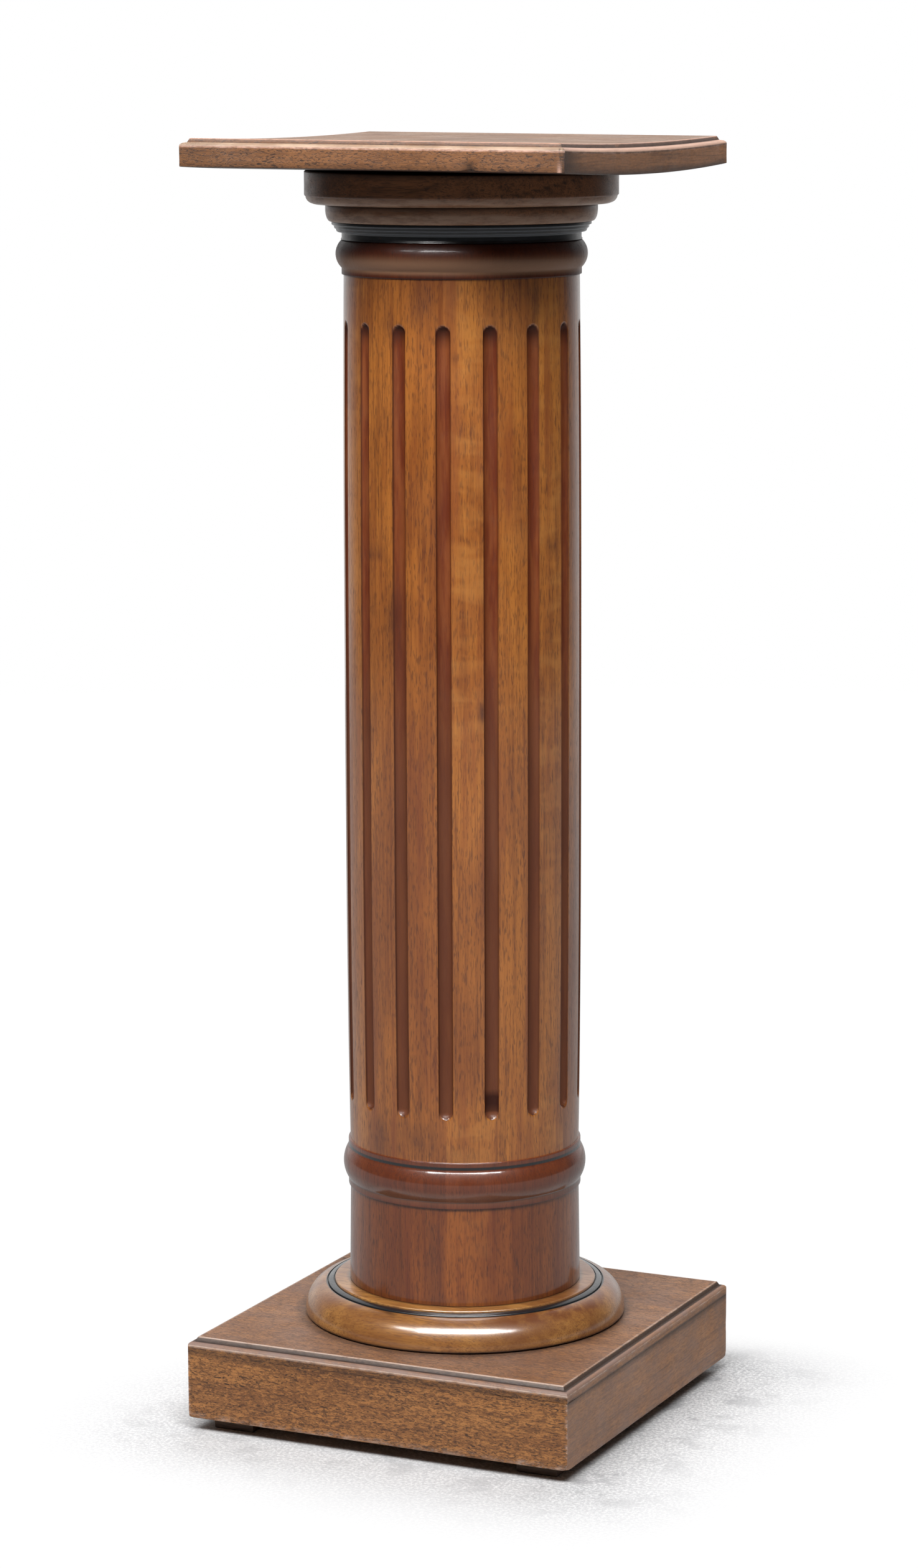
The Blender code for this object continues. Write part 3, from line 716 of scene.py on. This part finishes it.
def board(name, half, stations, lines, material, replaced, shape):
    """A square board from loops of (inset, height) stations, from the underside's rim to the top's rim."""
    count = len(lines) - 1
    places = []
    for inset, height in stations:
        reach = half - inset
        places += [(reach * u, -reach, height) for u in lines[:-1]]
        places += [(reach, reach * u, height) for u in lines[:-1]]
        places += [(-reach * u, reach, height) for u in lines[:-1]]
        places += [(-reach, -reach * u, height) for u in lines[:-1]]
    loop = 4 * count
    faces = []
    for station in range(len(stations) - 1):
        below, above = station * loop, (station + 1) * loop
        for k in range(loop):
            n = (k + 1) % loop
            faces.append((below + k, below + n, above + n, above + k))

    def rim(station, i, j):
        """Index of a rim point from its column i and row j, or None inside the board."""
        start = station * loop
        if j == 0 and i < count:
            return start + i
        if i == count and j < count:
            return start + count + j
        if j == count and i > 0:
            return start + 2 * count + (count - i)
        if i == 0 and j > 0:
            return start + 3 * count + (count - j)
        return None

    for station, upward in ((0, False), (len(stations) - 1, True)):
        inset, height = stations[station]
        reach = half - inset
        grid = {}
        for j in range(count + 1):
            for i in range(count + 1):
                index = rim(station, i, j)
                if index is None:
                    index = len(places)
                    places.append((reach * lines[i], reach * lines[j], height))
                grid[i, j] = index
        for j in range(count):
            for i in range(count):
                face = (grid[i, j], grid[i + 1, j], grid[i + 1, j + 1], grid[i, j + 1])
                faces.append(face if upward else face[::-1])
    places = shape(np.array(places))
    piece = new_piece(name, places.tolist(), faces, material, replaced)
    return piece, places


def moulded_stations(bottom, edge_top, chamfer):
    """Stations of a board with a straight edge, a rounded shoulder and a small fillet below its top."""
    top = edge_top + MOULDING_DROP
    shoulder_top = edge_top + MOULDING_SHOULDER_DROP
    fillet_top = MOULDING_SHOULDER_WIDTH + MOULDING_FILLET_WIDTH
    stations = [(chamfer, bottom), (chamfer * 0.3, bottom + chamfer * 0.3), (0.0, bottom + chamfer)]
    stations += [(0.0, bottom + (edge_top - bottom) * t) for t in (0.33, 0.66, 0.92)]
    shoulder = quarter(
        (MOULDING_SHOULDER_WIDTH, edge_top), MOULDING_SHOULDER_WIDTH, MOULDING_SHOULDER_DROP, 180, 90, 6)
    stations += shoulder + [(MOULDING_SHOULDER_WIDTH + 0.0004, shoulder_top + 0.0004)]
    stations += [(fillet_top - 0.0003, top - 0.0008), (fillet_top + 0.0001, top - 0.0002)]
    return stations + [(fillet_top + 0.0007, top)]


def edge_wear(places, half, seed, size):
    """Pull the outer edges in a little, unevenly, as knocks do."""
    x, y = places[:, 0], places[:, 1]
    near_x, near_y = half - np.abs(x), half - np.abs(y)
    edge = hump(np.minimum(near_x, near_y), 0, 0.004)
    rough = np.clip(wobble(places, 1.0, 90, seed) + 0.15, 0, 1) ** 2
    chips = np.clip(wobble(places, 1.0, 33, seed + 1) - 0.42, 0, 1) * 4
    upright = hump(near_x + near_y, 0, 0.003)
    pull = edge * size * (rough * 0.6 + chips) * (1 - 0.6 * upright)
    places = places.copy()
    places[:, 0] -= np.sign(x) * pull * (near_x < near_y + 0.003)
    places[:, 1] -= np.sign(y) * pull * (near_y < near_x + 0.003)
    return places, edge * (0.35 + rough + chips)


def at_side(places):
    """True for the points of a board that lie nearer its left or right edge than its front or back one."""
    return np.abs(places[:, 0]) > np.abs(places[:, 1])


def edge_distance(places, half):
    return half - np.maximum(np.abs(places[:, 0]), np.abs(places[:, 1]))


def moulding_bands(places, half, top):
    """Worn line of the shoulder's foot, worn line of the top's rim, and the shoulder between them."""
    z = places[:, 2]
    edge = hump(z, top - MOULDING_DROP, 0.0005)
    rim = hump(z, top, 0.0006) * (edge_distance(places, half) < MOULDING_TOP_RIM)
    shoulder = (z > top - MOULDING_DROP + 0.0003) & (z < top - MOULDING_FILLET_DROP + 0.0003)
    return edge, rim, shoulder


def board_masks(piece, places, half, wear_and_painted_reflection, dirt_and_painted_shade, painted_sheen, line):
    side = (half - np.abs(places[:, 0]) < 0.0045) & at_side(places)
    paint(piece, "side_grain", side.astype(float))
    paint(piece, "wear_and_painted_reflection", np.clip(wear_and_painted_reflection, 0, 1))
    paint(piece, "painted_sheen", painted_sheen)
    paint(piece, "line", line)
    paint(piece, "dirt_and_painted_shade", np.clip(dirt_and_painted_shade, 0, 1))


def build_plinth_block(material):
    low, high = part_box("plinth_block")
    half = high.x
    heights = np.linspace(low.z + 0.0008, high.z - 0.0002, 12)
    stations = [(0.0008, low.z), (0.0003, low.z + 0.0003)] + [(0.0, z) for z in heights]
    stations += [(0.0, high.z + 0.00025)]
    worn_and_painted_light = []

    def shape(places):
        places, wear_and_painted_reflection = edge_wear(places, half, 3, 0.0005)
        x, y, z = places.T
        reach = (half - np.abs(x)) + (half - np.abs(y)) + (z - low.z)
        knocked = hump(reach, 0, 0.003) * np.where(x * y > 0, 0.1, 0.6)
        inward = np.stack([-np.sign(x), -np.sign(y), np.ones(len(z))], axis=1)
        places += inward * knocked[:, None] * 0.0035
        rim = hump(z, low.z, 0.002)
        upright = hump((half - np.abs(x)) + (half - np.abs(y)), 0, 0.0012)
        worn_and_painted_light.append(np.maximum(wear_and_painted_reflection * rim, upright * 0.6) + knocked)
        return places

    piece, places = board(
        "plinth_body", half, stations, side_lines(), material, "plinth_block", shape)
    x, y, z = places.T
    near_top = smoothstep(high.z - 0.0008, high.z, z) * at_side(places) * 0.8
    # Painted shade: a darker band at the top of the block, under the board's moulding.
    shaded = 0.22 * smoothstep(high.z - 0.005, high.z, z)
    # Painted sheen: paler side faces, as reflection of the bright surroundings.
    painted_sheen = 0.65 * at_side(places) * smoothstep(half - 0.004, half - 0.001, np.abs(x))
    board_masks(piece, places, half, worn_and_painted_light[0], np.maximum(near_top, shaded), painted_sheen, np.zeros(len(places)))


def build_plinth_board(material):
    low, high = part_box("plinth_board")
    half, top = high.x, high.z
    stations = moulded_stations(low.z, top - MOULDING_DROP, 0.0001)
    reach = half - stations[-1][0]
    joint = PLANK_JOINT / reach
    width = 0.0004 / reach
    lines = side_lines([joint - width, joint, joint + width])
    worn_and_painted_light, painted_sheen, line = [], [], []

    def shape(places):
        places, wear_and_painted_reflection = edge_wear(places, half, 11, 0.0006)
        x, y, z = places.T
        on_top = z > top - 0.0001
        in_joint = on_top & (np.abs(y - PLANK_JOINT) < 0.0001) & (x < PLANK_JOINT_END)
        places[in_joint, 2] -= 0.0007
        places[:, 2] += np.where(on_top, wobble(places, 0.00012, 14, 5) - 0.00012, 0)
        edge, rim, shoulder = moulding_bands(places, half, top)
        side = at_side(places)
        worn_and_painted_light.append((edge * 1.3 + rim) * (0.3 + wear_and_painted_reflection))
        line.append(np.clip(0.8 * rim + 0.8 * edge, 0, 1) * np.where(side, 0.3, 1.0))
        # Painted sheen: a highlight on the rounded shoulder, sheen on the top and reflection on the side
        # faces below the moulding.
        side_edge = 0.55 * side * (z < top - MOULDING_DROP)
        painted_sheen.append(np.maximum.reduce([shoulder * 1.0, on_top * 0.4, side_edge]))
        return places

    piece, places = board(
        "plinth_cover", half, stations, lines, material, "plinth_board", shape)
    x, y, z = places.T
    ring = np.hypot(x, y)
    foot_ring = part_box("base_ring")[1].x
    # Darker round the foot of the ring and more on its right: partly grime, partly painted shade. The whole
    # top is also a little darker.
    grime = wobble(places, 0.8, 45, 8) + 0.7
    around = hump(ring, foot_ring + 0.0015, 0.0035) * (z > top - 0.001)
    around = around + 0.5 * grime * smoothstep(foot_ring + 0.024, foot_ring, ring) * (x > 0.4 * np.abs(y))
    around = np.clip(around, 0, 1) + 0.24 * (z > top - 0.001)
    joint_line = hump(y, PLANK_JOINT, 0.0005) * (z > top - 0.002) * (x < PLANK_JOINT_END)
    seam = smoothstep(low.z + 0.0005, low.z, z) * np.where(at_side(places), 0.9, 0.15)
    fillet = (z < top - 0.0006) * (z > top - MOULDING_FILLET_DROP - 0.0002) * 0.9
    band = smoothstep(top - MOULDING_DROP - 0.0002, top - MOULDING_DROP - 0.0012, z)
    fillet = np.maximum(fillet, 0.38 * band * (np.abs(y) > np.abs(x)))
    dirt_and_painted_shade = np.maximum.reduce([0.45 * around, joint_line, seam, fillet])
    board_masks(piece, places, half, worn_and_painted_light[0], dirt_and_painted_shade, painted_sheen[0], line[0])


def build_top_board(material):
    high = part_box("top_board")[1]
    half, top = high.x, high.z
    edge_low = top - MOULDING_DROP - TOP_EDGE_HEIGHT
    stations = moulded_stations(edge_low, top - MOULDING_DROP, 0.0005)
    flat = half / 9
    lines = side_lines([0.951, 0.957, 0.963, 0.967, 0.971, 0.975, 0.979, 0.989])
    worn_and_painted_light, painted_sheen, line, dark = [], [], [], []

    def shape(places):
        places, wear_and_painted_reflection = edge_wear(places, half, 21, 0.0007)
        x, y, z = places.T
        rise = np.clip((z - edge_low) / (top - edge_low), 0, 1)
        sag = TOP_SAG_UNDER + (TOP_SAG_OVER - TOP_SAG_UNDER) * rise
        hollow = np.minimum(1.0, (half ** 2 - y ** 2) / (half ** 2 - flat ** 2))
        edge, rim, shoulder = moulding_bands(places, half, top)
        bottom = hump(z, edge_low, 0.0008) * (edge_distance(places, half) < 0.002)
        side = at_side(places)
        worn_and_painted_light.append((edge * 1.4 + rim) * (0.4 + wear_and_painted_reflection))
        # Worn lines on the rims and edges; on the sides, a painted highlight along the shoulder.
        line.append(np.clip(0.8 * rim + np.where(side, 0.7 * shoulder * (1 - edge), 0.5 * edge), 0, 1))
        # A dark line between face and shoulder on the sides, and painted shade along the lower front edge.
        dark.append(0.8 * edge * side + 0.5 * bottom * (y < 0))
        # Painted sheen: a highlight on the rounded shoulder and sheen on the top.
        painted_sheen.append(np.maximum(shoulder * 0.95, (z > top - 0.0001) * 0.3))
        notch = hump(x, TOP_DENT_AT, 0.0045)
        notch = notch * (y < -half + 0.002) * smoothstep(0.004, 0.0, z - edge_low)
        places[:, 1] += 0.0012 * notch
        places[:, 2] = z - sag * hollow - TOP_TILT * x + 0.0018 * notch
        return places

    piece, places = board("top_board_cupped", half, stations, lines, material, "top_board", shape)
    x, y, z = places.T
    inward = edge_distance(places, half)
    fillet = inward < MOULDING_SHOULDER_WIDTH + MOULDING_FILLET_WIDTH - 0.0002
    fillet = fillet & (inward > MOULDING_SHOULDER_WIDTH - 0.0003)
    fillet = fillet * np.where(at_side(places), 0.85, 0.5)
    corner = hump((half - x) + (half + y), 0, 0.0010)
    level = z + TOP_TILT * x - edge_low
    front = y < -half + 0.002
    seam = hump(half - x, 0.0018 + 0.16 * level, 0.0010) * front
    crumbs = hump(half - x, 0.0046, 0.0016) * smoothstep(0.0075, 0.0010, level) * front
    nick = hump(x, TOP_DENT_AT, 0.0045) * smoothstep(0.0075, 0.0040, level) * front
    end_shade = (0.3 * smoothstep(half - 0.035, half - 0.008, x) + 0.3 * smoothstep(-0.05, -half, x)) * front
    stain = hump(x, half, 0.003) * smoothstep(-half + 0.045, -half, y) * 0.8
    # Painted shade along the underside of the board.
    under = smoothstep(edge_low + 0.0006, edge_low, z + TOP_TILT * x) * 0.8
    dirt_and_painted_shade = np.maximum.reduce([fillet, corner, stain, under, 0.8 * seam, 0.8 * nick, end_shade, dark[0]])
    board_masks(piece, places, half, worn_and_painted_light[0], dirt_and_painted_shade, painted_sheen[0], np.maximum(line[0], 0.9 * crumbs))


def build_foot(name, material):
    low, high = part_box(name)
    centre = (low + high) / 2
    half = (high.x - low.x) / 2
    stations = [(0.0008, low.z), (0.0, low.z + 0.0008), (0.0, high.z - 0.0005), (0.0003, high.z)]

    def shape(places):
        worn_and_painted_light = wobble(places + np.array(centre), 0.0004, 160, 2)
        places[:, 0] -= np.sign(places[:, 0]) * np.abs(worn_and_painted_light)
        places[:, 1] -= np.sign(places[:, 1]) * np.abs(worn_and_painted_light)
        return places + np.array((centre.x, centre.y, 0.0))

    board(name + "_block", half, stations, np.linspace(-1, 1, 13), material, name, shape)


# Studio

def level_axes():
    """Level directions to the right and straight ahead, as seen from the camera."""
    heading = CAMERA_AZIMUTH + CAMERA_YAW
    right = Vector((math.cos(heading), math.sin(heading), 0))
    ahead = Vector((-math.sin(heading), math.cos(heading), 0))
    return right, ahead


def add_camera():
    right, ahead = level_axes()
    up = Vector((0, 0, 1))
    look = ahead * math.cos(CAMERA_PITCH) - up * math.sin(CAMERA_PITCH)
    lift = up * math.cos(CAMERA_PITCH) + ahead * math.sin(CAMERA_PITCH)
    side = right * math.cos(CAMERA_ROLL) + lift * math.sin(CAMERA_ROLL)
    top = lift * math.cos(CAMERA_ROLL) - right * math.sin(CAMERA_ROLL)
    data = bpy.data.cameras.new("camera")
    data.lens = CAMERA_LENS
    data.sensor_width = 36
    camera = bpy.data.objects.new("camera", data)
    place = Vector((math.sin(CAMERA_AZIMUTH), -math.cos(CAMERA_AZIMUTH), 0)) * CAMERA_DISTANCE
    place.z = CAMERA_HEIGHT
    turn = Matrix((side, top, -look)).transposed().to_4x4()
    camera.matrix_world = Matrix.Translation(place) @ turn
    bpy.context.scene.collection.objects.link(camera)
    bpy.context.scene.camera = camera


def area_light(name, place, target, size, power):
    data = bpy.data.lights.new(name, "AREA")
    data.shape = "RECTANGLE"
    data.size, data.size_y = size
    data.energy = power
    light = bpy.data.objects.new(name, data)
    light.location = place
    light.rotation_euler = (Vector(target) - Vector(place)).to_track_quat("-Z", "Y").to_euler()
    bpy.context.scene.collection.objects.link(light)
    return light


def add_lights():
    right, ahead = level_axes()
    middle = (0, 0, 0.5)

    def place(across, forward, height):
        return right * across + ahead * forward + Vector((0, 0, height))

    area_light("overhead_softbox", place(-0.3, -2.3, 3.5), middle, (3.4, 1.4), 265)
    strip = area_light("reflected_strip", place(-0.02, -2.1, 2.85), middle, (3.8, 0.5), 185)
    strip.visible_diffuse = False
    behind = area_light("rear_softbox", place(0.5, 2.4, 2.6), middle, (3.0, 1.6), 52)
    behind.visible_glossy = False
    area_light("left_lamp", place(-2.0, -1.32, 2.71), (0, 0, 0.9), (0.6, 0.4), 18)


def add_world():
    """Light that is brighter behind the object than behind the camera, and white where the camera sees it."""
    world = bpy.data.worlds.new("studio")
    bpy.context.scene.world = world
    world.use_nodes = True
    sky = Nodes(world.node_tree)
    toward_back = sky.node("ShaderNodeVectorMath", operation="DOT_PRODUCT")
    sky.feed(toward_back.inputs[0], sky.node("ShaderNodeTexCoord").outputs["Generated"])
    sky.feed(toward_back.inputs[1], level_axes()[1])
    spread = sky.span(toward_back.outputs["Value"], 0.45, 0.95, 0.06, 0.8)
    seen = sky.node("ShaderNodeLightPath").outputs["Is Camera Ray"]
    background = sky.tree.nodes["Background"]
    background.inputs["Color"].default_value = (1, 1, 1, 1)
    sky.feed(background.inputs["Strength"], sky.math("MAXIMUM", spread, seen))


def add_floor():
    """Pale floor with painted shadow and grime near the plinth that fades into a glowing background."""
    radius, rings, sides = 4.0, 72, 144
    places = [(0, 0, 0)]
    for ring in range(1, rings + 1):
        reach = radius * (ring / rings) ** 1.7
        angles = [2 * math.pi * k / sides for k in range(sides)]
        places += [(reach * math.cos(a), reach * math.sin(a), 0) for a in angles]
    faces = [(0, 1 + k, 1 + (k + 1) % sides) for k in range(sides)]
    for ring in range(rings - 1):
        a, b = 1 + ring * sides, 1 + (ring + 1) * sides
        faces += [(a + k, b + k, b + (k + 1) % sides, a + (k + 1) % sides) for k in range(sides)]
    mesh = bpy.data.meshes.new("floor")
    mesh.from_pydata(places, [], faces)
    floor = bpy.data.objects.new("floor", mesh)
    bpy.context.scene.collection.objects.link(floor)
    x, y = np.array(places)[:, 0], np.array(places)[:, 1]
    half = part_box("plinth_block")[1].x
    away = np.hypot(np.maximum(np.abs(x) - half, 0), np.maximum(np.abs(y) - half, 0))
    right, ahead = level_axes()
    across = x * right.x + y * right.y
    depth = x * ahead.x + y * ahead.y
    weight = 0.55 + 0.45 * smoothstep(-0.05, 0.25, across)
    # Painted shadow on the floor round the plinth, darker on the right and fading behind it.
    paint(floor, "shade", weight * 1.15 * np.exp(-(away / 0.07) ** 1.5) * smoothstep(0.25, 0.05, depth))
    paint(floor, "glow", smoothstep(0.03, 0.19, away + 0.6 * np.maximum(depth - 0.05, 0)))
    paper = Wood("pale_floor")
    speckle = paper.noise((380, 380, 380), detail=4.0, rough=0.75)
    spots = paper.span(speckle, 0.42, 0.62)
    clean = paper.mix(spots, (0.56, 0.56, 0.57), (0.68, 0.68, 0.68))
    shadowed_and_grimy = paper.mix(spots, (0.34, 0.34, 0.35), (0.60, 0.60, 0.60))
    patches = paper.noise((26, 26, 26), shift=(3, 1, 0), detail=6.0, rough=0.75)
    shadowed_and_grimy = paper.mix(paper.span(patches, 0.50, 0.62, 0.0, 0.7), shadowed_and_grimy, (0.22, 0.22, 0.23))
    paper.feed(paper.shader.inputs["Base Color"], paper.mix(paper.attribute("shade"), clean, shadowed_and_grimy))
    paper.shader.inputs["Roughness"].default_value = 0.9
    glow = paper.node("ShaderNodeEmission")
    rays = paper.node("ShaderNodeLightPath").outputs
    bounced = paper.math("ADD", paper.math("MULTIPLY", rays["Is Diffuse Ray"], 0.10), 0.50)
    seen = paper.math("MULTIPLY", rays["Is Camera Ray"], 1.02)
    paper.feed(glow.inputs["Strength"], paper.math("MAXIMUM", bounced, seen))
    blend = paper.node("ShaderNodeMixShader")
    paper.feed(blend.inputs[0], paper.attribute("glow"))
    paper.feed(blend.inputs[1], paper.shader.outputs[0])
    paper.feed(blend.inputs[2], glow.outputs[0])
    paper.feed(paper.tree.nodes["Material Output"].inputs["Surface"], blend.outputs[0])
    mesh.materials.append(paper.material)


def main():
    bpy.context.scene.view_settings.view_transform = "Standard"
    add_camera()
    add_lights()
    add_world()
    add_floor()
    dark = dark_material()
    plinth = board_material(
        "plinth_mahogany",
        ((0.37, 0.158, 0.046), (0.225, 0.090, 0.027), (0.095, 0.036, 0.013), (0.022, 0.009, 0.005)),
        shift=2.3, wear_and_highlight_colour=(0.55, 0.42, 0.35), sheen_colour=(0.21, 0.135, 0.108),
        rough_low=0.42, rough_high=0.55, fleck=0.7)
    top = board_material(
        "top_mahogany",
        ((0.23, 0.100, 0.040), (0.140, 0.058, 0.025), (0.060, 0.025, 0.012), (0.018, 0.008, 0.005)),
        shift=6.4, wear_and_highlight_colour=(0.55, 0.33, 0.25), sheen_colour=(0.46, 0.325, 0.230),
        rough_low=0.36, rough_high=0.48, fleck=0.35)
    feet = foot_material()
    build_shaft(shaft_material())
    build_base_ring(ring_material())
    build_neck_ring(ebonised_material())
    build_echinus(dark)
    build_abacus(dark)
    build_top_board(top)
    build_plinth_board(plinth)
    build_plinth_block(plinth)
    for name in ("foot_front_left", "foot_front_right", "foot_back_left", "foot_back_right"):
        build_foot(name, feet)


main()
